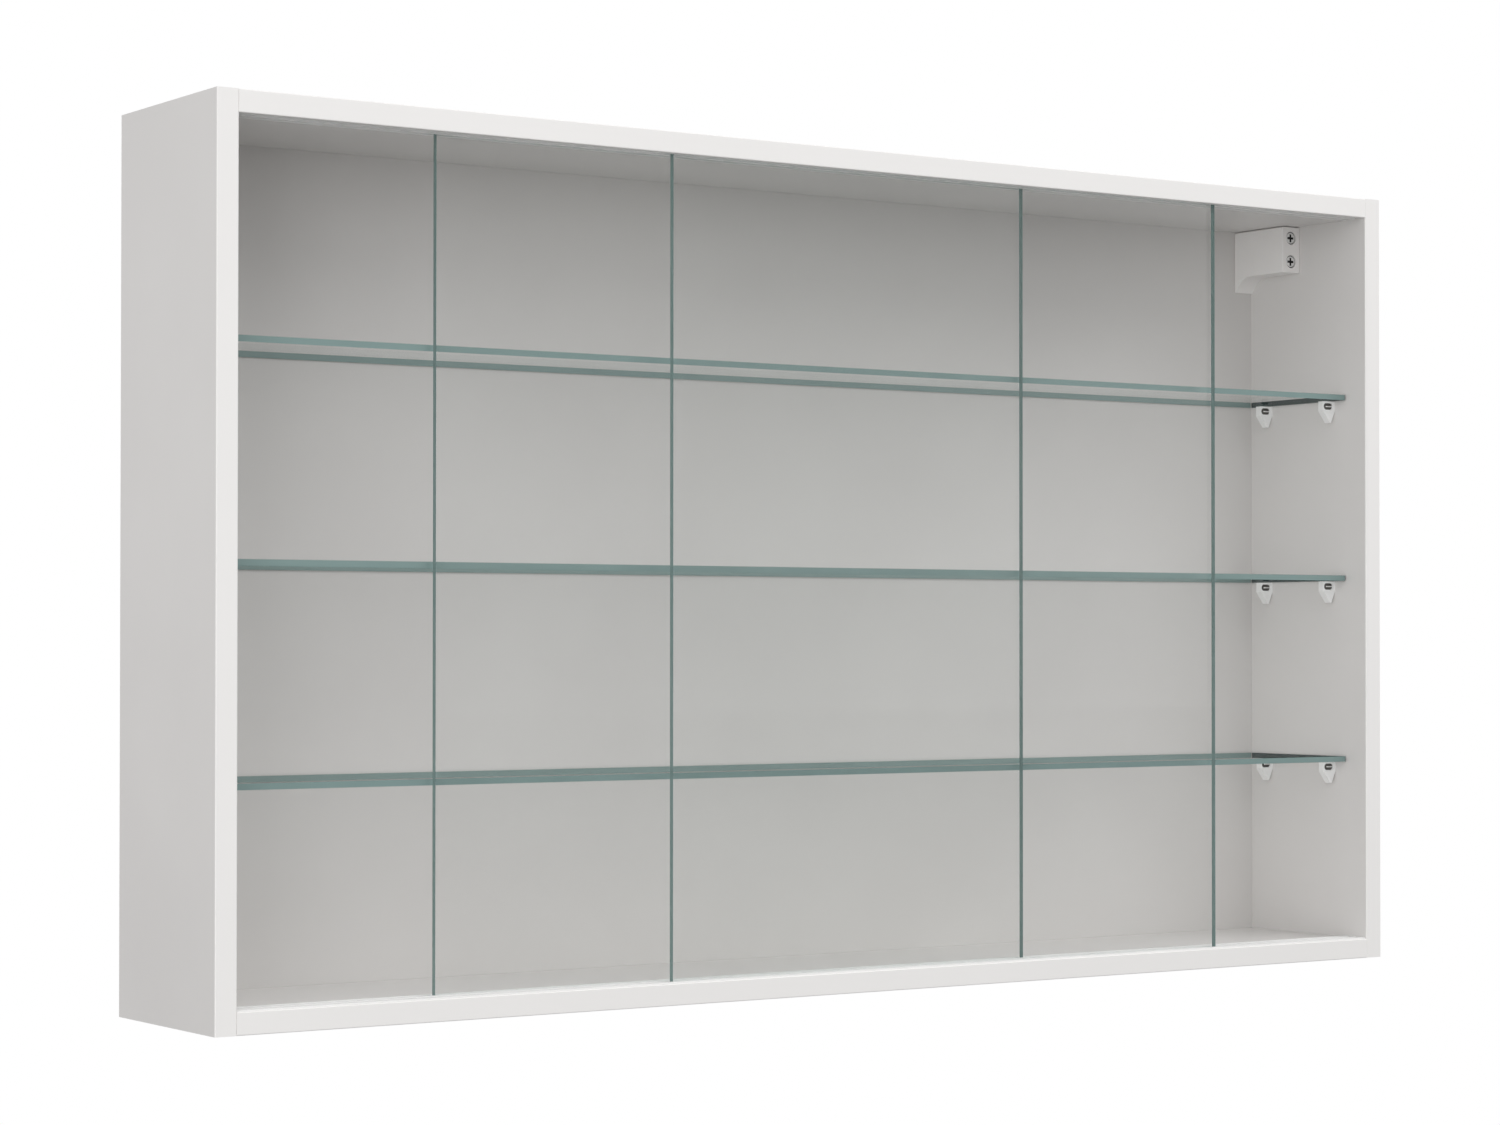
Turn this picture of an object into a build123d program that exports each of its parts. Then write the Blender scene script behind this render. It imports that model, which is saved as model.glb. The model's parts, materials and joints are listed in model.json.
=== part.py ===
from build123d import *
from math import acos, asin, degrees
import os

# A wall-mounted display cabinet: a shallow white board carcass with two sliding
# glass doors, three glass shelves and a pair of adjustable hangers that hook on
# to plates screwed to the wall. Millimetres, +Z up, the open front faces -Y.
# The origin is on the wall plane, at the centre of the four wall-screw holes.

os.makedirs("parts", exist_ok=True)

# ---------------------------------------------------------------- driving dimensions
width = 1000.0  # outside, along X
height = 600.0  # outside, along Z
depth = 150.0  # front edge to wall plane, along Y
board = 15.0  # thickness of the carcass boards
edging = 1.0  # thickness of the front edge banding
origin_height = 520.0  # wall-screw pattern's centre above the cabinet's underside

back_thickness = 3.0
back_set_in = 11.0  # gap between the back panel and the wall
groove_depth = 3.2
groove_play = 0.1  # each side of the back panel in its grooves

pane = 5.0  # thickness of the door glass
door_width = 490.0
front_door_left = -156.0  # left edge of the front door as it stands, part open
rear_door_left = -335.0  # left edge of the rear door as it stands, part open
front_channel_y = -140.9  # centre line of the front door's track channel
rear_channel_y = -131.4  # centre line of the rear door's track channel
channel_width = 6.0
track_front = -146.3
track_rear = -126.0
bottom_track_height = 5.0
top_track_height = 10.0
track_web = 1.0  # floor of each channel
track_rise = 1.0  # how far the bottom track stands out of its groove; the top one is flush
track_lip = 1.6  # the bottom track's front lip covers the groove's front edge
door_lift = 0.1  # running gap under the door
door_in_top_track = 4.5  # how far the door's top edge reaches into its channel

shelf_thickness = 5.0
shelf_front = -127.4
shelf_back = -15.0
shelf_end_gap = 1.0
shelf_count = 3

support_thickness = 6.0  # along Y
front_support_y = -111.2  # centre line of the front supports
rear_support_y = -36.7  # centre line of the rear supports
pin_radius = 2.0
pin_play = 0.05  # round a pin in its support
pin_in_board = 8.0
hole_relief = 0.5  # blind holes run this much deeper than what they hold

hanger_width = 18.2
hanger_depth = 59.0
hanger_front_height = 37.0
hanger_rear_height = 48.8
hanger_top_gap = 0.5
height_screw_drop = 9.0  # upper screw's axis below the hanger's top
depth_screw_drop = 28.0  # lower screw's axis below the hanger's top
hook_offset = 5.1  # hook plate's centre, inboard of the screws
hook_thickness = 3.0
hook_height = 10.0  # depth of the hook's shank
hook_above_underside = 8.8
height_travel = 6.0  # hook travel up and down from the middle
slot_play = 1.0  # round the hook in the back panel's slot
wall_hole_radius = 2.75
wall_hole_spacing = 20.0  # between the two holes of one wall plate
wall_plate_x = 456.0  # centre of a wall plate from the middle of the cabinet

# ---------------------------------------------------------------- derived places
bottom = -origin_height
top = bottom + height
front = -depth
half_width = width / 2
inner_half = half_width - board
floor_z = bottom + board
ceiling_z = top - board
board_front = front + edging
back_rear = -back_set_in
back_front = back_rear - back_thickness

hanger_rear = back_front
hanger_front = hanger_rear - hanger_depth
hanger_top = ceiling_z - hanger_top_gap
hanger_x = inner_half - hanger_width / 2  # centre of the right hanger
height_screw_z = hanger_top - height_screw_drop
depth_screw_z = hanger_top - depth_screw_drop
underside_z = hanger_top - hanger_front_height
lip_z = hanger_top - hanger_rear_height
hook_bottom = underside_z + hook_above_underside
hook_centre_z = hook_bottom + hook_height / 2

SIDES = (("left", -1), ("right", 1))
ENDS = (("bottom", -1), ("top", 1))


def across(x):
    """A YZ sketch plane at this X."""
    return Plane.YZ.offset(x)


def facing(x, y, z, direction):
    """A plane at a point, looking along a direction, for holes drilled into the board behind it."""
    return Plane(origin=(x, y, z), z_dir=direction)


# ---------------------------------------------------------------- carcass boards
dowel_radius = 4.0
dowel_length = 35.0
dowel_in_side = 10.5
dowel_play = 0.05  # round dowels and pegs in their holes
dowel_bevel = 0.8
dowel_ys = (-100.0, -40.0)

shelf_space = (ceiling_z - floor_z - shelf_count * shelf_thickness) / (shelf_count + 1)
shelf_tops = [floor_z + n * (shelf_space + shelf_thickness) for n in range(1, shelf_count + 1)]
support_ys = (front_support_y, rear_support_y)
pin_drop = 4.0  # pin's axis below the shelf's underside
peg_radius = 5.0
peg_length = 10.0
peg_from_front = (15.0, 45.0)  # the two pegs' places behind the hanger's front face
peg_ys = [hanger_front + y for y in peg_from_front]
peg_drop = 14.5
peg_z = hanger_top - peg_drop
groove_width = back_thickness + 2 * groove_play
groove_y = (back_front + back_rear) / 2
board_centre_z = {"bottom": bottom + board / 2, "top": top - board / 2}

for side, sign in SIDES:
    with BuildPart() as side_panel:
        with BuildSketch(across(sign * (half_width - board / 2))):
            with Locations((board_front / 2, (bottom + top) / 2)):
                Rectangle(depth - edging, height)
        extrude(amount=board / 2, both=True)
        with Locations((sign * inner_half, groove_y, (floor_z + ceiling_z) / 2)):
            Box(
                2 * groove_depth,
                groove_width,
                ceiling_z - floor_z + 2 * groove_depth,
                mode=Mode.SUBTRACT,
            )
        for shelf_top in shelf_tops:
            pin_z = shelf_top - shelf_thickness - pin_drop
            with Locations(*[facing(sign * inner_half, y, pin_z, (-sign, 0, 0)) for y in support_ys]):
                Hole(radius=pin_radius, depth=pin_in_board + hole_relief)
        with Locations(*[facing(sign * inner_half, y, peg_z, (-sign, 0, 0)) for y in peg_ys]):
            Hole(radius=peg_radius + dowel_play, depth=peg_length + hole_relief)
        for z in board_centre_z.values():
            with Locations(*[facing(sign * inner_half, y, z, (-sign, 0, 0)) for y in dowel_ys]):
                Hole(radius=dowel_radius + dowel_play, depth=dowel_in_side + hole_relief)
    side_panel.part.label = f"{side}_side_panel"
    export_step(side_panel.part, f"parts/{side}_side_panel.step")

track_heights = {"bottom": bottom_track_height, "top": top_track_height}
inner_face_z = {"bottom": floor_z, "top": ceiling_z}
dowel_in_rail = dowel_length - dowel_in_side

for end, _ in ENDS:
    with BuildPart() as rail_panel:
        with BuildSketch(across(0)):
            with Locations((board_front / 2, board_centre_z[end])):
                Rectangle(depth - edging, board)
            with Locations(((track_front + track_rear) / 2, inner_face_z[end])):
                Rectangle(track_rear - track_front, 2 * track_heights[end], mode=Mode.SUBTRACT)
            with Locations((groove_y, inner_face_z[end])):
                Rectangle(groove_width, 2 * groove_depth, mode=Mode.SUBTRACT)
        extrude(amount=inner_half, both=True)
        for _, side_sign in SIDES:
            ends = [
                facing(side_sign * inner_half, y, board_centre_z[end], (side_sign, 0, 0))
                for y in dowel_ys
            ]
            with Locations(*ends):
                Hole(radius=dowel_radius + dowel_play, depth=dowel_in_rail + hole_relief)
    rail_panel.part.label = f"{end}_panel"
    export_step(rail_panel.part, f"parts/{end}_panel.step")

with BuildPart() as back_panel:
    slot_height = hook_height + 2 * height_travel + 2 * slot_play
    with BuildSketch(Plane.XZ.offset(-back_front)):
        with Locations((0, (floor_z + ceiling_z) / 2)):
            Rectangle(
                2 * (inner_half + groove_depth - groove_play),
                ceiling_z - floor_z + 2 * (groove_depth - groove_play),
            )
        with Locations(*[(sign * (hanger_x - hook_offset), hook_centre_z) for _, sign in SIDES]):
            Rectangle(hook_thickness + 2 * slot_play, slot_height, mode=Mode.SUBTRACT)
    extrude(amount=-back_thickness)
back_panel.part.label = "back_panel"
export_step(back_panel.part, "parts/back_panel.step")

with BuildPart() as dowels:
    for z in board_centre_z.values():
        for _, sign in SIDES:
            starts = [facing(sign * (inner_half + dowel_in_side), y, z, (-sign, 0, 0)) for y in dowel_ys]
            with BuildSketch(*starts):
                Circle(dowel_radius)
            extrude(amount=dowel_length)
    chamfer(dowels.edges().filter_by(GeomType.CIRCLE), length=dowel_bevel)
dowels.part.label = "corner_dowels"
export_step(dowels.part, "parts/corner_dowels.step")

# ---------------------------------------------------------------- front edge banding
# Thin strips that finish the sawn front edges, with their long corners rounded.
edging_radius = 0.7

for side, sign in SIDES:
    with BuildPart() as side_edging:
        with BuildSketch(Plane.XZ.offset(-board_front)):
            with Locations((sign * (half_width - board / 2), (bottom + top) / 2)):
                Rectangle(board, height)
        extrude(amount=edging)
        fillet(side_edging.faces().sort_by(Axis.Y)[0].edges().filter_by(Axis.Z), edging_radius)
    side_edging.part.label = f"{side}_front_edging"
    export_step(side_edging.part, f"parts/{side}_front_edging.step")

for end, _ in ENDS:
    with BuildPart() as rail_edging:
        with BuildSketch(Plane.XZ.offset(-board_front)):
            with Locations((0, board_centre_z[end])):
                Rectangle(2 * inner_half, board)
        extrude(amount=edging)
        fillet(rail_edging.faces().sort_by(Axis.Y)[0].edges().filter_by(Axis.X), edging_radius)
    rail_edging.part.label = f"{end}_front_edging"
    export_step(rail_edging.part, f"parts/{end}_front_edging.step")

# ---------------------------------------------------------------- door tracks and doors
for end, sign in ENDS:
    with BuildPart() as door_track:
        track_height = track_heights[end]
        track_y = (track_front + track_rear) / 2
        rise = track_rise if end == "bottom" else 0.0
        channel_depth = track_height - track_web + rise
        channel_z = inner_face_z[end] + sign * (channel_depth / 2 - rise)
        with BuildSketch(across(0)):
            with Locations((track_y, inner_face_z[end] + sign * track_height / 2)):
                Rectangle(track_rear - track_front, track_height)
            if rise:
                with Locations((track_y - track_lip / 2, inner_face_z[end] - sign * rise / 2)):
                    Rectangle(track_rear - track_front + track_lip, rise)
            with Locations((front_channel_y, channel_z), (rear_channel_y, channel_z)):
                Rectangle(channel_width, channel_depth, mode=Mode.SUBTRACT)
        extrude(amount=inner_half, both=True)
    door_track.part.label = f"{end}_door_track"
    export_step(door_track.part, f"parts/{end}_door_track.step")

door_bottom = floor_z - (bottom_track_height - track_web) + door_lift
door_top = ceiling_z + door_in_top_track
glass_arris = 0.4  # small bevel on every polished glass edge

DOORS = (("front", front_door_left, front_channel_y), ("rear", rear_door_left, rear_channel_y))

for name, left_edge, channel_y in DOORS:
    with BuildPart() as door:
        with BuildSketch(Plane.XZ.offset(-channel_y)):
            with Locations((left_edge + door_width / 2, (door_bottom + door_top) / 2)):
                Rectangle(door_width, door_top - door_bottom)
        extrude(amount=pane / 2, both=True)
        chamfer(door.edges(), length=glass_arris)
    door.part.label = f"{name}_glass_door"
    export_step(door.part, f"parts/{name}_glass_door.step")

# ---------------------------------------------------------------- glass shelves and supports
LEVELS = ("lower", "middle", "upper")
# Outline of a support as (distance from the side panel, drop below the shelf).
support_outline = ((0, 0), (12.5, 0), (12.5, 7.6), (5.2, 17.0), (4.0, 17.0), (0, 7.6))
support_reach = support_outline[1][0]
support_easing = 0.6
slot_size = (9.4, 5.2)  # the recess in each support's front face that shows the pin
slot_centre = 7.0  # from the side panel
slot_depth = 1.6
insert_play = 0.1  # round the retaining plate in its recess
insert_thickness = 0.6
pin_in_support = 8.2
pin_bevel = 0.4

for level, shelf_top in zip(LEVELS, shelf_tops):
    underside = shelf_top - shelf_thickness
    with BuildPart() as shelf:
        with BuildSketch(Plane.XY.offset(underside)):
            with Locations((0, (shelf_front + shelf_back) / 2)):
                Rectangle(2 * (inner_half - shelf_end_gap), shelf_back - shelf_front)
        extrude(amount=shelf_thickness)
        chamfer(shelf.edges(), length=glass_arris)
    shelf.part.label = f"{level}_glass_shelf"
    export_step(shelf.part, f"parts/{level}_glass_shelf.step")

    for side, sign in SIDES:
        for place, y in zip(("front", "rear"), support_ys):
            with BuildPart() as support:
                with BuildSketch(Plane.XZ.offset(-y)):
                    with BuildLine():
                        outline = [
                            (sign * (inner_half - reach), underside - drop)
                            for reach, drop in support_outline
                        ]
                        Polyline(*outline, close=True)
                    make_face()
                extrude(amount=support_thickness / 2, both=True)
                inner_face = support.faces().filter_by(Axis.X).sort_by(Axis.X)[0 if sign > 0 else -1]
                fillet(inner_face.edges(), support_easing)
                with BuildSketch(Plane.XZ.offset(-y + support_thickness / 2)):
                    with Locations((sign * (inner_half - slot_centre), underside - pin_drop)):
                        SlotOverall(*slot_size)
                extrude(amount=-slot_depth, mode=Mode.SUBTRACT)
                with Locations(facing(sign * inner_half, y, underside - pin_drop, (sign, 0, 0))):
                    Hole(radius=pin_radius + pin_play, depth=pin_in_support + hole_relief)
            support.part.label = f"{level}_{side}_{place}_shelf_support"
            export_step(support.part, f"parts/{level}_{side}_{place}_shelf_support.step")

with BuildPart() as pins:
    for shelf_top in shelf_tops:
        for _, sign in SIDES:
            starts = [
                facing(
                    sign * (inner_half + pin_in_board),
                    y,
                    shelf_top - shelf_thickness - pin_drop,
                    (-sign, 0, 0),
                )
                for y in support_ys
            ]
            with BuildSketch(*starts):
                Circle(pin_radius)
            extrude(amount=pin_in_board + pin_in_support)
    chamfer(pins.edges().filter_by(GeomType.CIRCLE), length=pin_bevel)
pins.part.label = "shelf_support_pins"
export_step(pins.part, "parts/shelf_support_pins.step")

# A thin plate at the bottom of each support's recess holds the pin in.
with BuildPart() as inserts:
    for shelf_top in shelf_tops:
        pin_z = shelf_top - shelf_thickness - pin_drop
        for y in support_ys:
            recess_y = y - support_thickness / 2 + slot_depth
            with BuildSketch(Plane.XZ.offset(-recess_y)):
                with Locations(*[(sign * (inner_half - slot_centre), pin_z) for _, sign in SIDES]):
                    SlotOverall(*[size - 2 * insert_play for size in slot_size])
            extrude(amount=insert_thickness)
            with Locations(*[facing(sign * inner_half, y, pin_z, (sign, 0, 0)) for _, sign in SIDES]):
                Hole(radius=pin_radius + pin_play, depth=pin_in_support + hole_relief)
inserts.part.label = "support_retaining_plates"
export_step(inserts.part, "parts/support_retaining_plates.step")

# ---------------------------------------------------------------- adjustable hangers
# Each hanger is a plastic housing pegged to the side panel. Its lower screw draws
# a carriage towards or away from the wall. Its upper screw, carried by the
# carriage, moves a 45 degree wedge that lifts or lowers the steel hook.

housing_wall = 1.6
housing_easing = 0.8
shadow_gap = 1.0  # bevel where the housing meets the back panel and the top panel
front_wall = 6.0
cove_start = 38.0  # where the underside starts to curve down, from the front face
cove_radius = 22.0
cove_y = hanger_front + cove_start
cove_z = underside_z - cove_radius  # centre of the cove
cove_sweep = degrees(acos((lip_z - cove_z) / cove_radius))
cavity_front = hanger_front + front_wall
cavity_top = hanger_top - housing_wall
cove_wall = 2.0
cavity_cove_radius = cove_radius + cove_wall
cavity_floor = cove_z + cavity_cove_radius
cavity_sweep = degrees(asin((hanger_rear - cove_y) / cavity_cove_radius))

screw_radius = 3.0
bearing_play = 0.05
head_radius = 5.0
head_hole_radius = 5.2
head_set_in = 0.8  # heads stand this far behind the front face
head_thickness = 2.2
head_seat = 3.2
head_bevel = 0.8
collar_radius = 4.3
recess_arm = (6.4, 1.9)  # one arm of the cross recess, across and wide
cross_depth = 1.6

# Along Y inside a hanger, measured back from its front face.
depth_screw_end = 26.0
depth_collar = (6.2, 7.4)
height_screw_end = 45.5
height_collars = ((6.6, 7.8), (13.7, 14.9))
carriage_front_lug = (8.0, 13.5)
carriage_rear_lug = (41.8, 46.0)
carriage_half = 7.2
carriage_bottom = underside_z + 2.5
carriage_top = hanger_top - 2.0
carriage_base = 3.0
guide_play = 0.3  # round the hook in the carriage
guide_length = 4.0  # the stub in front of the hook
guide_foot = 1.0  # how far the stub runs down into the carriage's base
guide_rise = 2.5
wedge_span = (21.5, 35.5)
wedge_half = 6.8
wedge_block_bottom = hanger_top - 14.5
wedge_top = hanger_top - 2.5
foot_overhang = 0.2  # the sliding foot is this much wider than the hook on each side
hook_front = 25.5
hook_shoulder = 41.5
hook_nose = (69.4, 72.4)
hook_nose_drop = 8.0
hook_corner = 2.0
ramp_foot = (31.5, underside_z + 18.5)  # a point on the 45 degree sliding face
ramp_gap = 0.2

plate_thickness = 2.0
plate_width = 54.0
plate_bottom = -22.0
plate_corner = 4.0
joggle = 4.0  # how far the hanging edge stands off the wall
joggle_bottom = 21.0
joggle_top = joggle_bottom + joggle
joggle_shift = 0.8  # keeps the pressed bend as thick as the plate
wall_hole_zs = (-wall_hole_spacing / 2, wall_hole_spacing / 2)


def ramp_z(y_from_front):
    """Height of the 45 degree sliding face at a distance back from the hanger's front."""
    return ramp_foot[1] + y_from_front - ramp_foot[0]


def from_front(points):
    """Outline points given as (distance back from the hanger's front, height), as (Y, Z)."""
    return [(hanger_front + y, z) for y, z in points]


for side, sign in SIDES:
    hanger_centre = sign * hanger_x
    side_wall_x = sign * inner_half
    hook_x = sign * (hanger_x - hook_offset)

    with BuildPart() as housing:
        with BuildSketch(across(hanger_centre)):
            with BuildLine():
                cove = CenterArc((cove_y, cove_z), cove_radius, 90, -cove_sweep)
                Polyline(
                    cove @ 1,
                    (hanger_rear, lip_z),
                    (hanger_rear, hanger_top),
                    (hanger_front, hanger_top),
                    (hanger_front, underside_z),
                    cove @ 0,
                )
            make_face()
        extrude(amount=hanger_width / 2, both=True)
        inboard_face = housing.faces().filter_by(Axis.X).sort_by(Axis.X)[0 if sign > 0 else -1]
        rear_edge = inboard_face.edges().filter_by(Axis.Z).sort_by(Axis.Y)[-1]
        top_edge = inboard_face.edges().filter_by(Axis.Y).sort_by(Axis.Z)[-1]
        chamfer([rear_edge, top_edge], length=shadow_gap)
        fillet(housing.faces().sort_by(Axis.Y)[0].edges(), housing_easing)
        with BuildSketch(across(hanger_centre)):
            with BuildLine():
                cavity_cove = CenterArc((cove_y, cove_z), cavity_cove_radius, 90, -cavity_sweep)
                Polyline(
                    cavity_cove @ 1,
                    (hanger_rear, cavity_top),
                    (cavity_front, cavity_top),
                    (cavity_front, cavity_floor),
                    cavity_cove @ 0,
                )
            make_face()
        extrude(amount=hanger_width / 2 - housing_wall, both=True, mode=Mode.SUBTRACT)
        with Locations(facing(hanger_centre, hanger_front, height_screw_z, (0, -1, 0))):
            Hole(radius=head_hole_radius, depth=front_wall)
        with Locations(facing(hanger_centre, hanger_front, depth_screw_z, (0, -1, 0))):
            Hole(radius=head_hole_radius, depth=head_seat)
            Hole(radius=screw_radius + bearing_play, depth=front_wall)
        with BuildSketch(*[facing(side_wall_x, y, peg_z, (sign, 0, 0)) for y in peg_ys]):
            Circle(peg_radius)
        extrude(amount=peg_length)
    housing.part.label = f"{side}_hanger_housing"
    export_step(housing.part, f"parts/{side}_hanger_housing.step")

    with BuildPart() as carriage:
        with BuildSketch(across(hanger_centre)):
            front_lug, rear_lug = carriage_front_lug, carriage_rear_lug
            base_top = carriage_bottom + carriage_base
            Polygon(
                *from_front(
                    [
                        (front_lug[0], carriage_bottom),
                        (rear_lug[1], carriage_bottom),
                        (rear_lug[1], carriage_top),
                        (rear_lug[0], carriage_top),
                        (rear_lug[0], base_top),
                        (front_lug[1], base_top),
                        (front_lug[1], carriage_top),
                        (front_lug[0], carriage_top),
                    ]
                ),
                align=None,
            )
        extrude(amount=carriage_half, both=True)
        way_front = hook_front - guide_play
        way_top = hook_bottom + hook_height + height_travel + guide_play
        with BuildSketch(across(hook_x)):
            Polygon(
                *from_front(
                    [
                        (way_front, carriage_bottom),
                        (rear_lug[1], carriage_bottom),
                        (rear_lug[1], way_top),
                        (way_front, way_top),
                    ]
                ),
                align=None,
            )
        extrude(amount=hook_thickness / 2 + guide_play, both=True, mode=Mode.SUBTRACT)
        with BuildSketch(across(hook_x)):
            Polygon(
                *from_front(
                    [
                        (way_front - guide_length, base_top - guide_foot),
                        (way_front, base_top - guide_foot),
                        (way_front, base_top + guide_rise),
                        (way_front - guide_length, base_top + guide_rise),
                    ]
                ),
                align=None,
            )
        extrude(amount=hook_thickness / 2 + guide_play, both=True)
        with Locations(facing(hanger_centre, hanger_front + front_lug[0], height_screw_z, (0, -1, 0))):
            Hole(radius=screw_radius + bearing_play)
        with Locations(facing(hanger_centre, hanger_front + front_lug[0], depth_screw_z, (0, -1, 0))):
            Hole(radius=screw_radius + bearing_play, depth=front_lug[1] - front_lug[0])
    carriage.part.label = f"{side}_hanger_carriage"
    export_step(carriage.part, f"parts/{side}_hanger_carriage.step")

    with BuildPart() as wedge:
        with BuildSketch(across(hanger_centre)):
            Polygon(
                *from_front(
                    [
                        (wedge_span[0], wedge_block_bottom),
                        (wedge_span[1], wedge_block_bottom),
                        (wedge_span[1], wedge_top),
                        (wedge_span[0], wedge_top),
                    ]
                ),
                align=None,
            )
        extrude(amount=wedge_half, both=True)
        with BuildSketch(across(hook_x)):
            Polygon(
                *from_front(
                    [
                        (wedge_span[0], ramp_z(wedge_span[0])),
                        (wedge_span[1], ramp_z(wedge_span[1])),
                        (wedge_span[1], wedge_top),
                        (wedge_span[0], wedge_top),
                    ]
                ),
                align=None,
            )
        extrude(amount=hook_thickness / 2 + foot_overhang, both=True)
        with Locations(facing(hanger_centre, hanger_front + wedge_span[0], height_screw_z, (0, -1, 0))):
            Hole(radius=screw_radius + bearing_play)
    wedge.part.label = f"{side}_hanger_wedge"
    export_step(wedge.part, f"parts/{side}_hanger_wedge.step")

    with BuildPart() as hook:
        with BuildSketch(across(hook_x)) as stamping:
            Polygon(
                *from_front(
                    [
                        (hook_front, hook_bottom),
                        (hook_front, ramp_z(hook_front) - ramp_gap),
                        (hook_shoulder, ramp_z(hook_shoulder) - ramp_gap),
                        (hook_shoulder, hook_bottom + hook_height),
                        (hook_nose[1], hook_bottom + hook_height),
                        (hook_nose[1], hook_bottom - hook_nose_drop),
                        (hook_nose[0], hook_bottom - hook_nose_drop),
                        (hook_nose[0], hook_bottom),
                    ]
                ),
                align=None,
            )
            outer_corner = stamping.vertices().group_by(Axis.X)[-1].sort_by(Axis.Y)[-1]
            fillet(outer_corner, hook_corner)
        extrude(amount=hook_thickness / 2, both=True)
    hook.part.label = f"{side}_hook"
    export_step(hook.part, f"parts/{side}_hook.step")

    height_steps = [(screw_radius, head_set_in, height_screw_end)]
    height_steps += [(collar_radius, start, end) for start, end in height_collars]
    depth_steps = [
        (screw_radius, head_set_in, depth_screw_end),
        (collar_radius, *depth_collar),
    ]
    SCREWS = (("height", height_screw_z, height_steps), ("depth", depth_screw_z, depth_steps))
    for purpose, screw_z, steps in SCREWS:
        with BuildPart() as screw:
            head = (head_radius, head_set_in, head_set_in + head_thickness)
            for radius, start, end in [head, *steps]:
                with BuildSketch(facing(hanger_centre, hanger_front + start, screw_z, (0, 1, 0))):
                    Circle(radius)
                extrude(amount=end - start)
            head_face = screw.faces().sort_by(Axis.Y)[0]
            chamfer(head_face.edges(), length=head_bevel)
            with BuildSketch(facing(hanger_centre, hanger_front + head_set_in, screw_z, (0, -1, 0))):
                Rectangle(*recess_arm)
                Rectangle(*reversed(recess_arm))
            extrude(amount=-cross_depth, mode=Mode.SUBTRACT)
        screw.part.label = f"{side}_{purpose}_screw"
        export_step(screw.part, f"parts/{side}_{purpose}_screw.step")

    with BuildPart() as wall_plate:
        with BuildSketch(across(sign * wall_plate_x)):
            with BuildLine():
                Polyline(
                    (0, plate_bottom),
                    (0, joggle_bottom),
                    (-joggle, joggle_top),
                    (-joggle, hook_bottom),
                    (-joggle - plate_thickness, hook_bottom),
                    (-joggle - plate_thickness, joggle_top - joggle_shift),
                    (-plate_thickness, joggle_bottom - joggle_shift),
                    (-plate_thickness, plate_bottom),
                    close=True,
                )
            make_face()
        extrude(amount=plate_width / 2, both=True)
        lower_corners = wall_plate.edges().filter_by(Axis.Y).group_by(Axis.Z)[0]
        fillet(lower_corners, plate_corner)
        holes = [facing(sign * wall_plate_x, -plate_thickness, z, (0, -1, 0)) for z in wall_hole_zs]
        with Locations(*holes):
            Hole(radius=wall_hole_radius)
    wall_plate.part.label = f"{side}_wall_plate"
    export_step(wall_plate.part, f"parts/{side}_wall_plate.step")
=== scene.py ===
import json
import math

import bmesh
import bpy
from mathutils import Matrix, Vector


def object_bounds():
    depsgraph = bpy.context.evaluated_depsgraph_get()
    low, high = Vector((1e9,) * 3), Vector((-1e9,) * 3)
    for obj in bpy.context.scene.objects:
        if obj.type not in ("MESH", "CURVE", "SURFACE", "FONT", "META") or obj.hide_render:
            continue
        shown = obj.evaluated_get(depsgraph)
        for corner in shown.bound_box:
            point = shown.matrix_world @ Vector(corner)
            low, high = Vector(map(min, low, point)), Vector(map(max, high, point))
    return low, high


# A wall-hung display cabinet with sliding glass doors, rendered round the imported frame.
# Metres, +Z up. The open front faces -Y and the wall plane is at Y = 0.

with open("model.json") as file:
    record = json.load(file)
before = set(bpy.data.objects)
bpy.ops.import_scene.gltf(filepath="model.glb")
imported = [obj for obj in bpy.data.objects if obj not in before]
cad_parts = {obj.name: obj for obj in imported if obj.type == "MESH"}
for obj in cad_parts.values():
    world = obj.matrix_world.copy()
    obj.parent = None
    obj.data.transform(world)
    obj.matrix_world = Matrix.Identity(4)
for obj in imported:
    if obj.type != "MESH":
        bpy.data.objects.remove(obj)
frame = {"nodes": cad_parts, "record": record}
cad_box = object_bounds()
scene = bpy.context.scene
nodes = frame["nodes"]
SLOT_OF = {s["node"]: s["material_slot"] for s in frame["record"]["subparts"]}


# ---------------------------------------------------------------- shader helpers
SQUARE_ON = 0.9  # a face whose normal has more than this along an axis counts as square to it


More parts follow.
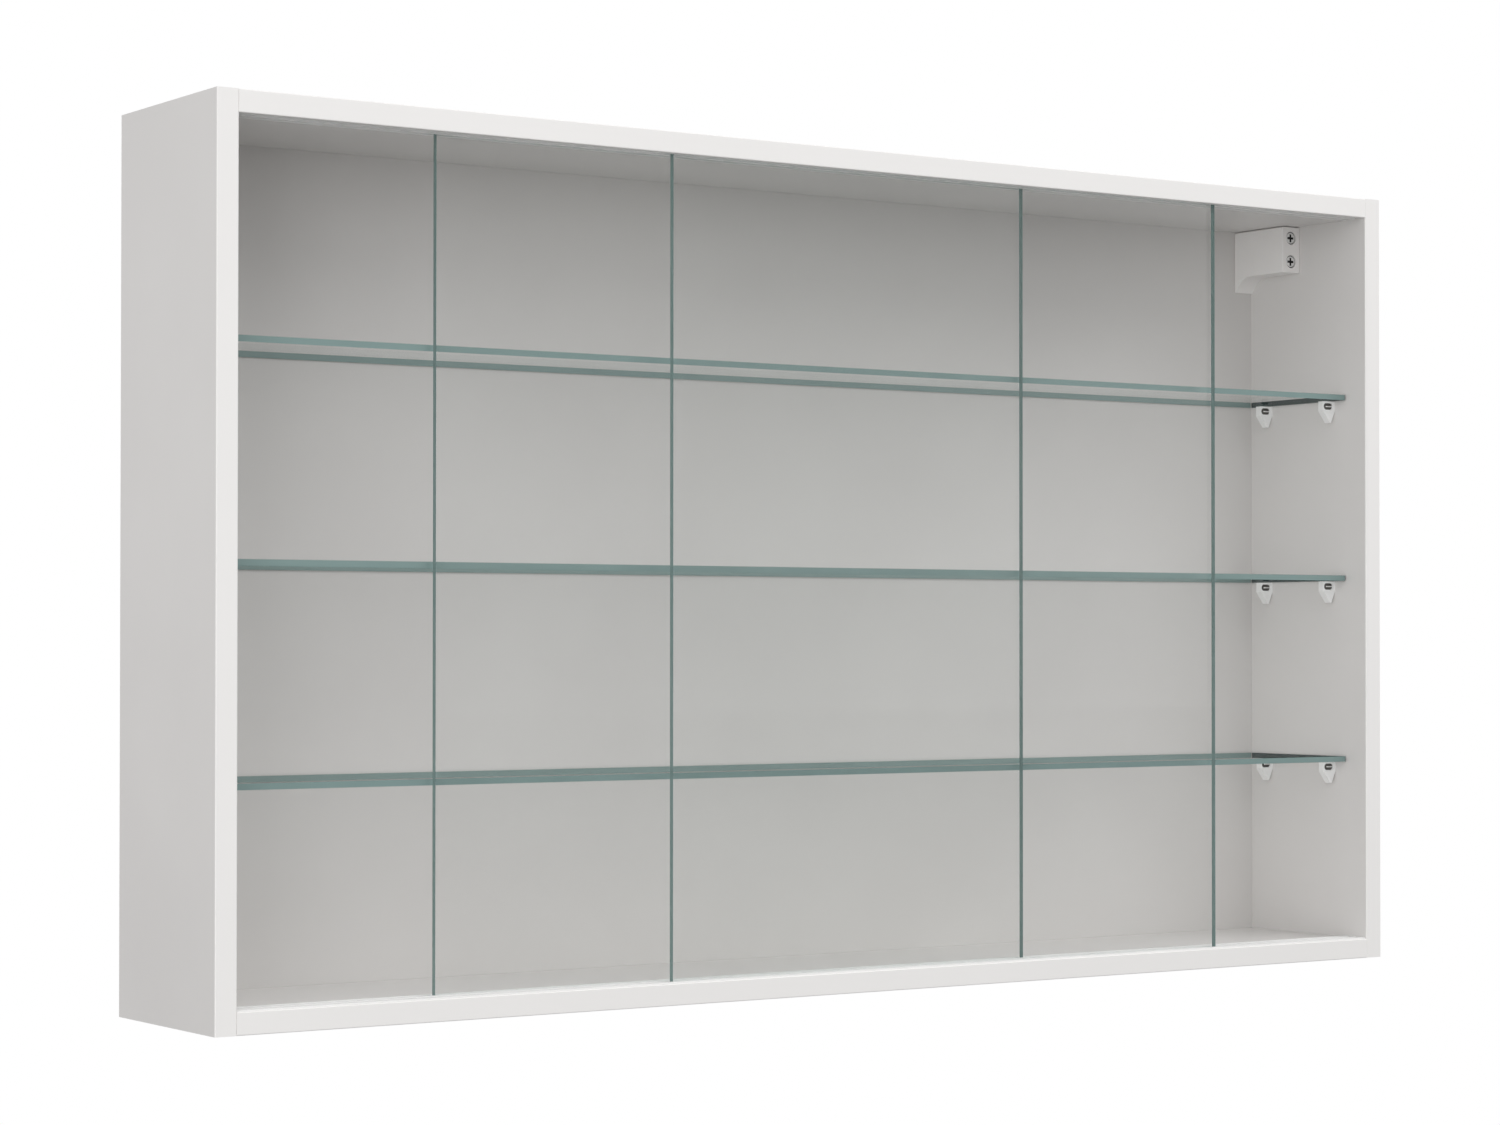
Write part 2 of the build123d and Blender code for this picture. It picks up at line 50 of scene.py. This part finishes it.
class Shader:
    """A material's node tree, with short calls for the nodes that the materials below share."""

    def __init__(self, name):
        self.material = bpy.data.materials.new(name)
        self.material.use_nodes = True
        self.tree = self.material.node_tree
        self.tree.nodes.clear()
        self.output = self.node("ShaderNodeOutputMaterial")
        self.coordinates = self.node("ShaderNodeTexCoord")

    def node(self, kind, **settings):
        made = self.tree.nodes.new(kind)
        for key, value in settings.items():
            setattr(made, key, value)
        return made

    def link(self, source, target):
        self.tree.links.new(source, target)

    def feed(self, target, value):
        """Sets a socket from a plain value or from another socket."""
        if isinstance(value, bpy.types.NodeSocket):
            self.link(value, target)
        else:
            target.default_value = value

    def place(self, scale=(1, 1, 1)):
        """Object coordinates, which are the row frame in metres, stretched by scale."""
        mapping = self.node("ShaderNodeMapping")
        mapping.inputs["Scale"].default_value = scale
        self.link(self.coordinates.outputs["Object"], mapping.inputs["Vector"])
        return mapping.outputs["Vector"]

    def noise(self, scale, detail=3.0, roughness=0.5, stretch=(1, 1, 1)):
        texture = self.node("ShaderNodeTexNoise")
        texture.inputs["Scale"].default_value = scale
        texture.inputs["Detail"].default_value = detail
        texture.inputs["Roughness"].default_value = roughness
        self.link(self.place(stretch), texture.inputs["Vector"])
        return texture.outputs["Fac"]

    def cells(self, scale, feature="F1", output="Color", stretch=(1, 1, 1)):
        texture = self.node("ShaderNodeTexVoronoi", feature=feature)
        texture.inputs["Scale"].default_value = scale
        self.link(self.place(stretch), texture.inputs["Vector"])
        return texture.outputs[output]

    def math(self, operation, a, b=0.0, clamp=False):
        made = self.node("ShaderNodeMath", operation=operation, use_clamp=clamp)
        self.feed(made.inputs[0], a)
        self.feed(made.inputs[1], b)
        return made.outputs[0]

    def span(self, value, low, high, start=0.0, end=1.0):
        """value rescaled from start..end to low..high."""
        made = self.node("ShaderNodeMapRange")
        made.inputs["From Min"].default_value = start
        made.inputs["From Max"].default_value = end
        made.inputs["To Min"].default_value = low
        made.inputs["To Max"].default_value = high
        self.link(value, made.inputs["Value"])
        return made.outputs["Result"]

    def blend(self, share, one, other):
        """A colour between two colours or colour sockets."""
        made = self.node("ShaderNodeMix", data_type="RGBA")
        self.feed(made.inputs["Factor"], share)
        self.feed(made.inputs["A"], one)
        self.feed(made.inputs["B"], other)
        return made.outputs["Result"]

    def number(self, share, one, other):
        """A number between two numbers or number sockets."""
        made = self.node("ShaderNodeMix", data_type="FLOAT")
        self.feed(made.inputs["Factor"], share)
        self.feed(made.inputs["A"], one)
        self.feed(made.inputs["B"], other)
        return made.outputs["Result"]

    def faces(self, axis, sign=0):
        """1 on faces square to an axis (0, 1 or 2). With sign set, only on those looking that way."""
        split = self.node("ShaderNodeSeparateXYZ")
        self.link(self.coordinates.outputs["Normal"], split.inputs[0])
        along = split.outputs[axis]
        along = self.math("MULTIPLY", along, sign) if sign else self.math("ABSOLUTE", along)
        return self.math("GREATER_THAN", along, SQUARE_ON)

    def bump(self, height, distance, strength=1.0):
        made = self.node("ShaderNodeBump")
        made.inputs["Strength"].default_value = strength
        made.inputs["Distance"].default_value = distance
        self.link(height, made.inputs["Height"])
        return made.outputs["Normal"]

    def surface(self, colour, roughness, normal=None, **plain):
        """A Principled shader. plain holds values that are the same all over, by socket name."""
        made = self.node("ShaderNodeBsdfPrincipled")
        self.feed(made.inputs["Base Color"], colour)
        self.feed(made.inputs["Roughness"], roughness)
        if normal is not None:
            self.link(normal, made.inputs["Normal"])
        for key, value in plain.items():
            made.inputs[key.replace("_", " ")].default_value = value
        return made.outputs["BSDF"]

    def mixed(self, share, one, other):
        made = self.node("ShaderNodeMixShader")
        self.feed(made.inputs[0], share)
        self.link(one, made.inputs[1])
        self.link(other, made.inputs[2])
        return made.outputs[0]

    def done(self, surface):
        self.link(surface, self.output.inputs["Surface"])
        return self.material


def rgb(red, green, blue):
    return (red, green, blue, 1.0)


# ---------------------------------------------------------------- materials of the carcass
FACING_WHITE = rgb(0.755, 0.738, 0.725)
FACING_SHADE = rgb(0.73, 0.712, 0.70)
BACK_WHITE = rgb(0.71, 0.694, 0.68)
BACK_SHADE = rgb(0.685, 0.668, 0.655)


def satin_facing(shader, light=FACING_WHITE, shade=FACING_SHADE):
    """Colour, roughness and bump height of white satin melamine, faintly clouded and grained."""
    clouds = shader.noise(6.0, detail=4.0)
    grain = shader.noise(1400.0, detail=2.0)
    smears = shader.noise(18.0, detail=3.0, stretch=(1, 1, 0.35))
    colour = shader.blend(shader.span(clouds, 0.0, 1.0, 0.35, 0.65), light, shade)
    roughness = shader.math("ADD", shader.span(smears, 0.30, 0.40), shader.span(grain, -0.02, 0.02))
    return colour, roughness, grain


def chipboard(shader):
    """Colour and bump height of a sawn particle board edge."""
    flakes = shader.cells(420.0, output="Color", stretch=(0.6, 1, 1.6))
    dust = shader.noise(900.0, detail=5.0, roughness=0.7)
    split = shader.node("ShaderNodeSeparateColor")
    shader.link(flakes, split.inputs[0])
    tan = shader.blend(split.outputs[0], rgb(0.46, 0.33, 0.19), rgb(0.66, 0.52, 0.34))
    colour = shader.blend(shader.span(dust, 0.0, 0.7, 0.45, 0.75), tan, rgb(0.24, 0.16, 0.09))
    return colour, shader.math("ADD", split.outputs[1], dust)


def white_board():
    """Melamine-faced particle board. Its sawn rear edges are left raw."""
    shader = Shader("white_board")
    colour, roughness, grain = satin_facing(shader)
    core, core_height = chipboard(shader)
    raw = shader.faces(1, 1)
    normal = shader.bump(shader.number(raw, grain, core_height), 0.00005, 0.25)
    return shader.done(
        shader.surface(
            shader.blend(raw, colour, core),
            shader.number(raw, roughness, 0.85),
            normal,
        )
    )


def back_board():
    """Thin fibreboard: lacquered white towards the shelves, bare brown towards the wall."""
    shader = Shader("back_board")
    colour, roughness, grain = satin_facing(shader, BACK_WHITE, BACK_SHADE)
    fibres = shader.noise(260.0, detail=6.0, roughness=0.75, stretch=(1, 1, 0.5))
    blotches = shader.noise(9.0, detail=3.0)
    brown = shader.blend(fibres, rgb(0.20, 0.12, 0.06), rgb(0.36, 0.24, 0.13))
    brown = shader.blend(shader.span(blotches, 0.0, 0.5, 0.3, 0.8), brown, rgb(0.29, 0.20, 0.12))
    bare = shader.math("SUBTRACT", 1.0, shader.faces(1, -1))
    normal = shader.bump(shader.number(bare, grain, fibres), 0.00005, 0.25)
    return shader.done(
        shader.surface(
            shader.blend(bare, colour, brown),
            shader.number(bare, roughness, 0.7),
            normal,
        )
    )


def edge_banding():
    """White plastic edging with faint draw lines along its length and small knocks."""
    shader = Shader("edge_banding")
    lines = shader.noise(900.0, detail=2.0, stretch=(0.02, 1, 0.02))
    clouds = shader.noise(10.0, detail=3.0)
    knocks = shader.cells(70.0, output="Distance")
    colour = shader.blend(clouds, rgb(0.95, 0.936, 0.922), rgb(0.925, 0.91, 0.897))
    rough = shader.math("ADD", shader.span(lines, 0.26, 0.36), shader.span(clouds, -0.02, 0.03))
    dents = shader.math("MULTIPLY", shader.math("LESS_THAN", knocks, 0.03), -0.5)
    normal = shader.bump(shader.math("ADD", lines, dents), 0.00004, 0.3)
    return shader.done(shader.surface(colour, rough, normal))


def track_plastic():
    """Extruded white plastic, polished along the channels where the panes run."""
    shader = Shader("track_plastic")
    draw = shader.noise(1200.0, detail=3.0, stretch=(0.01, 1, 1))
    wear = shader.noise(40.0, detail=4.0, stretch=(0.2, 1, 1))
    colour = shader.blend(
        shader.span(wear, 0.0, 1.0, 0.3, 0.75), rgb(0.93, 0.93, 0.925), rgb(0.88, 0.88, 0.875)
    )
    rough = shader.math("ADD", shader.span(draw, 0.28, 0.42), shader.span(wear, -0.05, 0.05))
    return shader.done(shader.surface(colour, rough, shader.bump(draw, 0.00005, 0.3)))


# ---------------------------------------------------------------- glass
def clear_glass(name, tint, gloss, edge_light, edge_deep, far_axis, painted_bright_edge, end_axis, end):
    """Float glass: clear, faintly tinted faces and polished green edges.

    A pane's two faces each tint once, and gloss is the share of the full reflection that each keeps.
    The narrow edge faces vary between edge_light and edge_deep. The one looking along +far_axis
    takes the far colour, a painted highlight, and those square to end_axis take the end colour,
    which is painted light: a painted highlight on door panes and painted shade on shelves.
    """
    shader = Shader(name)
    # faces
    smears = shader.noise(14.0, detail=5.0, roughness=0.6)
    through = shader.node("ShaderNodeBsdfTransparent")
    shader.feed(
        through.inputs["Color"],
        shader.blend(smears, tint, tuple(0.997 * c for c in tint[:3]) + (1.0,)),
    )
    mirror = shader.node("ShaderNodeBsdfGlossy")
    mirror.inputs["Color"].default_value = rgb(1.0, 1.0, 1.0)
    shader.feed(mirror.inputs["Roughness"], shader.span(smears, 0.0, 0.05, 0.4, 0.8))
    fresnel = shader.node("ShaderNodeFresnel")
    fresnel.inputs["IOR"].default_value = 1.5
    shine = shader.math("MULTIPLY", fresnel.outputs[0], gloss)
    pane = shader.mixed(shine, through.outputs[0], mirror.outputs[0])
    # polished edges, with a painted highlight along +far_axis and painted light on the ends
    drift = shader.noise(25.0, detail=2.0)
    ripple = shader.noise(600.0, detail=2.0)
    edge_colour = shader.blend(drift, edge_light, edge_deep)
    # Painted highlight: the edge looking along +far_axis takes a brighter colour.
    edge_colour = shader.blend(shader.faces(far_axis, 1), edge_colour, painted_bright_edge)
    # Painted light on the ends: a painted highlight on door panes, near-black painted shade on
    # shelves.
    edge_colour = shader.blend(shader.faces(end_axis), edge_colour, end)
    edge_rough = shader.span(ripple, 0.08, 0.2)
    edge = shader.surface(edge_colour, edge_rough, shader.bump(ripple, 0.00003, 0.2), IOR=1.5)
    cut = shader.math("MAXIMUM", shader.faces(far_axis), shader.faces(end_axis))
    return shader.done(shader.mixed(cut, pane, edge))


def door_glass():
    return clear_glass(
        "door_glass",
        tint=rgb(0.997, 0.999, 0.998),
        gloss=0.14,
        edge_light=rgb(0.19, 0.27, 0.26),
        edge_deep=rgb(0.14, 0.22, 0.21),
        far_axis=0,
        # A painted highlight on the pane edges that look along +X.
        painted_bright_edge=rgb(0.30, 0.43, 0.40),
        end_axis=2,
        # A painted highlight on the panes' top and bottom ends.
        end=rgb(0.55, 0.68, 0.65),
    )


def shelf_glass():
    return clear_glass(
        "shelf_glass",
        tint=rgb(0.982, 0.988, 0.986),
        gloss=0.12,
        edge_light=rgb(0.24, 0.34, 0.33),
        edge_deep=rgb(0.20, 0.29, 0.28),
        far_axis=1,
        # A painted highlight on the shelves' rear edges, which look along +Y.
        painted_bright_edge=rgb(0.33, 0.46, 0.44),
        end_axis=0,
        # Near-black painted shade on the shelves' ends, in the narrow gaps by the side walls.
        end=rgb(0.03, 0.05, 0.05),
    )


# ---------------------------------------------------------------- small plastic and metal parts
HEAD_FACE = -0.0722  # where the screw heads' faces stand along Y
HEAD_BEVEL, HEAD_THICKNESS = 0.00015, 0.0022


def moulded_plastic(name, light, shade, grain_scale=2200.0, roughness=(0.38, 0.50)):
    """White moulded plastic with a fine spark-eroded grain."""
    shader = Shader(name)
    grain = shader.noise(grain_scale, detail=3.0, roughness=0.6)
    flow = shader.noise(60.0, detail=2.0)
    colour = shader.blend(flow, light, shade)
    rough = shader.span(grain, *roughness)
    return shader.done(shader.surface(colour, rough, shader.bump(grain, 0.00006, 0.35)))


def plated_steel(name, light, dark, scratch_stretch=(1, 1, 1), roughness=(0.22, 0.42)):
    """Zinc or nickel plated steel: cloudy plating with fine scratches."""
    shader = Shader(name)
    plating = shader.noise(300.0, detail=4.0, roughness=0.65)
    scratches = shader.noise(2500.0, detail=2.0, stretch=scratch_stretch)
    colour = shader.blend(plating, light, dark)
    rough = shader.math("ADD", shader.span(plating, *roughness), shader.span(scratches, -0.05, 0.05))
    normal = shader.bump(scratches, 0.00002, 0.4)
    return shader.done(shader.surface(colour, rough, normal, Metallic=1.0))


def screw_steel():
    """Zinc plated screws, with painted shade: near-black painted into the cross recess and the groove
    round the head.
    """
    shader = Shader("screw_steel")
    plating = shader.noise(300.0, detail=4.0, roughness=0.65)
    turning = shader.noise(2500.0, detail=2.0, stretch=(1, 0.1, 1))
    bright = shader.blend(plating, rgb(0.90, 0.90, 0.89), rgb(0.78, 0.78, 0.78))
    split = shader.node("ShaderNodeSeparateXYZ")
    shader.link(shader.coordinates.outputs["Object"], split.inputs[0])
    # Painted shade: everything below the head's face, in the cross recess and round the head's rim,
    # is painted near-black.
    painted_shade_in_recess = shader.math(
        "MULTIPLY",
        shader.math("GREATER_THAN", split.outputs[1], HEAD_FACE + HEAD_BEVEL),
        shader.math("LESS_THAN", split.outputs[1], HEAD_FACE + HEAD_THICKNESS),
    )
    colour = shader.blend(painted_shade_in_recess, bright, rgb(0.035, 0.035, 0.035))
    rough = shader.math("ADD", shader.span(plating, 0.30, 0.48), shader.span(turning, -0.05, 0.05))
    normal = shader.bump(turning, 0.00002, 0.4)
    return shader.done(shader.surface(colour, rough, normal, Metallic=0.4))


def galvanised_steel():
    """Hot-dip galvanised sheet with its crystal spangle."""
    shader = Shader("plate_steel")
    spangle = shader.cells(160.0, output="Color")
    split = shader.node("ShaderNodeSeparateColor")
    shader.link(spangle, split.inputs[0])
    haze = shader.noise(500.0, detail=3.0)
    colour = shader.blend(split.outputs[0], rgb(0.50, 0.51, 0.52), rgb(0.66, 0.67, 0.68))
    rough = shader.math(
        "ADD", shader.span(split.outputs[1], 0.28, 0.5), shader.span(haze, -0.04, 0.04)
    )
    normal = shader.bump(shader.math("ADD", split.outputs[2], haze), 0.00002, 0.3)
    return shader.done(shader.surface(colour, rough, normal, Metallic=1.0))


def cast_zinc():
    """Die-cast zinc: dull grey with flow marks and a pebbled skin."""
    shader = Shader("die_cast_zinc")
    pebble = shader.noise(900.0, detail=4.0, roughness=0.7)
    flow = shader.noise(90.0, detail=3.0, stretch=(1, 0.3, 1))
    colour = shader.blend(flow, rgb(0.42, 0.42, 0.44), rgb(0.54, 0.54, 0.55))
    normal = shader.bump(pebble, 0.00008, 0.5)
    return shader.done(shader.surface(colour, shader.span(pebble, 0.38, 0.6), normal, Metallic=1.0))


def beech():
    """Unfinished beech dowels, with the grain along X."""
    shader = Shader("dowel_wood")
    grain = shader.noise(500.0, detail=5.0, roughness=0.7, stretch=(0.06, 1, 1))
    flecks = shader.noise(1500.0, detail=2.0, stretch=(0.2, 1, 1))
    wood = shader.blend(grain, rgb(0.72, 0.52, 0.32), rgb(0.50, 0.33, 0.18))
    colour = shader.blend(shader.span(flecks, 0.0, 0.35, 0.55, 0.8), wood, rgb(0.36, 0.22, 0.12))
    rough = shader.span(grain, 0.6, 0.8)
    return shader.done(shader.surface(colour, rough, shader.bump(grain, 0.0001, 0.4)))


MATERIALS = {
    "white_board": white_board(),
    "back_board": back_board(),
    "edge_banding": edge_banding(),
    "track_plastic": track_plastic(),
    "door_glass": door_glass(),
    "shelf_glass": shelf_glass(),
    "support_plastic": moulded_plastic(
        "support_plastic", rgb(0.97, 0.97, 0.965), rgb(0.94, 0.94, 0.935)
    ),
    "hanger_plastic": moulded_plastic(
        "hanger_plastic", rgb(0.93, 0.912, 0.90), rgb(0.90, 0.88, 0.867)
    ),
    "steel_pin": plated_steel("steel_pin", rgb(0.90, 0.90, 0.89), rgb(0.78, 0.78, 0.77)),
    "dark_steel": plated_steel("dark_steel", rgb(0.16, 0.155, 0.15), rgb(0.11, 0.105, 0.10)),
    "screw_steel": screw_steel(),
    "hook_steel": plated_steel(
        "hook_steel", rgb(0.60, 0.60, 0.61), rgb(0.46, 0.46, 0.47), (1, 0.1, 1)
    ),
    "plate_steel": galvanised_steel(),
    "die_cast_zinc": cast_zinc(),
    "dowel_wood": beech(),
}

for node, obj in nodes.items():
    obj.data.materials.clear()
    obj.data.materials.append(MATERIALS[SLOT_OF[node]])


# ---------------------------------------------------------------- eased edges
# The boards, tracks and fittings have slightly broken edges that catch the light.
EASED = {
    "white_board": 0.0003,
    "track_plastic": 0.0002,
    "hanger_plastic": 0.0003,
    "plate_steel": 0.0003,
}
EASED_ANGLE = math.radians(40)  # edges flatter than this are left alone

for node, obj in nodes.items():
    radius = EASED.get(SLOT_OF[node])
    if radius:
        eased = obj.modifiers.new("eased_edges", "BEVEL")
        eased.width = radius
        eased.segments = 2
        eased.limit_method = "ANGLE"
        eased.angle_limit = EASED_ANGLE
        eased.harden_normals = False


# ---------------------------------------------------------------- camera
# The camera stands left of the cabinet, close to it and near mid height, turned towards
# its right end. Places are from the cabinet's left front bottom corner.
CAMERA_LEFT, CAMERA_FRONT, CAMERA_UP = 0.9435, 2.0487, 0.2480
YAW, PITCH = math.radians(34.94), math.radians(0.791)
FOCAL_LENGTH = 84.53
SENSOR_WIDTH = 36.0
FRAME_SHIFT = (-0.0670, 0.0216)

low, high = (Vector(corner) for corner in cad_box)
camera_place = Vector((low.x - CAMERA_LEFT, low.y - CAMERA_FRONT, low.z + CAMERA_UP))
camera_data = bpy.data.cameras.new("camera")
camera_data.lens = FOCAL_LENGTH
camera_data.sensor_width = SENSOR_WIDTH
camera_data.shift_x, camera_data.shift_y = FRAME_SHIFT
camera_data.clip_end = 100.0
camera = bpy.data.objects.new("camera", camera_data)
camera.location = camera_place
camera.rotation_euler = (math.radians(90) + PITCH, 0.0, -YAW)
scene.collection.objects.link(camera)
scene.camera = camera


# ---------------------------------------------------------------- floor and studio light
FLOOR_DROP = 1.2  # the cabinet hangs this far above the floor
FLOOR_REACH = 60.0


def stage_floor():
    mesh = bpy.data.meshes.new("floor")
    builder = bmesh.new()
    bmesh.ops.create_grid(builder, x_segments=1, y_segments=1, size=FLOOR_REACH)
    builder.to_mesh(mesh)
    builder.free()
    floor = bpy.data.objects.new("floor", mesh)
    floor.location = (0.0, 0.0, low.z - FLOOR_DROP)
    # The floor is grey to the light, so that it doesn't fill the cabinet from below, and plain
    # white to the camera, as the photograph's ground is.
    shader = Shader("floor")
    speckle = shader.noise(3.0, detail=3.0)
    seen = shader.node("ShaderNodeLightPath").outputs["Is Camera Ray"]
    pale = shader.surface(
        shader.blend(speckle, rgb(0.36, 0.36, 0.36), rgb(0.33, 0.33, 0.33)),
        0.9,
    )
    glow = shader.node("ShaderNodeEmission")
    glow.inputs["Color"].default_value = rgb(1.0, 1.0, 1.0)
    pale = shader.mixed(seen, pale, glow.outputs[0])
    floor.data.materials.append(shader.done(pale))
    scene.collection.objects.link(floor)


def studio_world(seen, lit):
    """A plain white surround, seen bright by the camera and lit bright as a light."""
    world = bpy.data.worlds.new("studio")
    world.use_nodes = True
    tree = world.node_tree
    tree.nodes.clear()
    path = tree.nodes.new("ShaderNodeLightPath")
    strength = tree.nodes.new("ShaderNodeMix")
    strength.inputs["A"].default_value = lit
    strength.inputs["B"].default_value = seen
    background = tree.nodes.new("ShaderNodeBackground")
    background.inputs["Color"].default_value = (1.0, 1.0, 1.0, 1.0)
    output = tree.nodes.new("ShaderNodeOutputWorld")
    tree.links.new(path.outputs["Is Camera Ray"], strength.inputs["Factor"])
    tree.links.new(strength.outputs["Result"], background.inputs["Strength"])
    tree.links.new(background.outputs[0], output.inputs[0])
    scene.world = world


def soft_box(name, place, target, size, power):
    data = bpy.data.lights.new(name, "AREA")
    data.shape = "RECTANGLE"
    data.size, data.size_y = size
    data.energy = power
    light = bpy.data.objects.new(name, data)
    light.location = place
    light.rotation_euler = (Vector(target) - Vector(place)).to_track_quat("-Z", "Y").to_euler()
    scene.collection.objects.link(light)


middle = (low + high) / 2
stage_floor()
studio_world(seen=1.0, lit=0.70)
soft_box("overhead", middle + Vector((1.5, -2.0, 2.6)), middle, (3.2, 2.2), 54.0)
soft_box("left_fill", middle + Vector((-3.3, -2.0, 0.2)), middle, (3.2, 2.4), 50.0)

# Light reaches the back through both panes and several shelves, so rays may cross many faces.
scene.cycles.transparent_max_bounces = 48
scene.cycles.max_bounces = 16
scene.cycles.diffuse_bounces = 8

scene.view_settings.view_transform = "Standard"
scene.view_settings.look = "None"
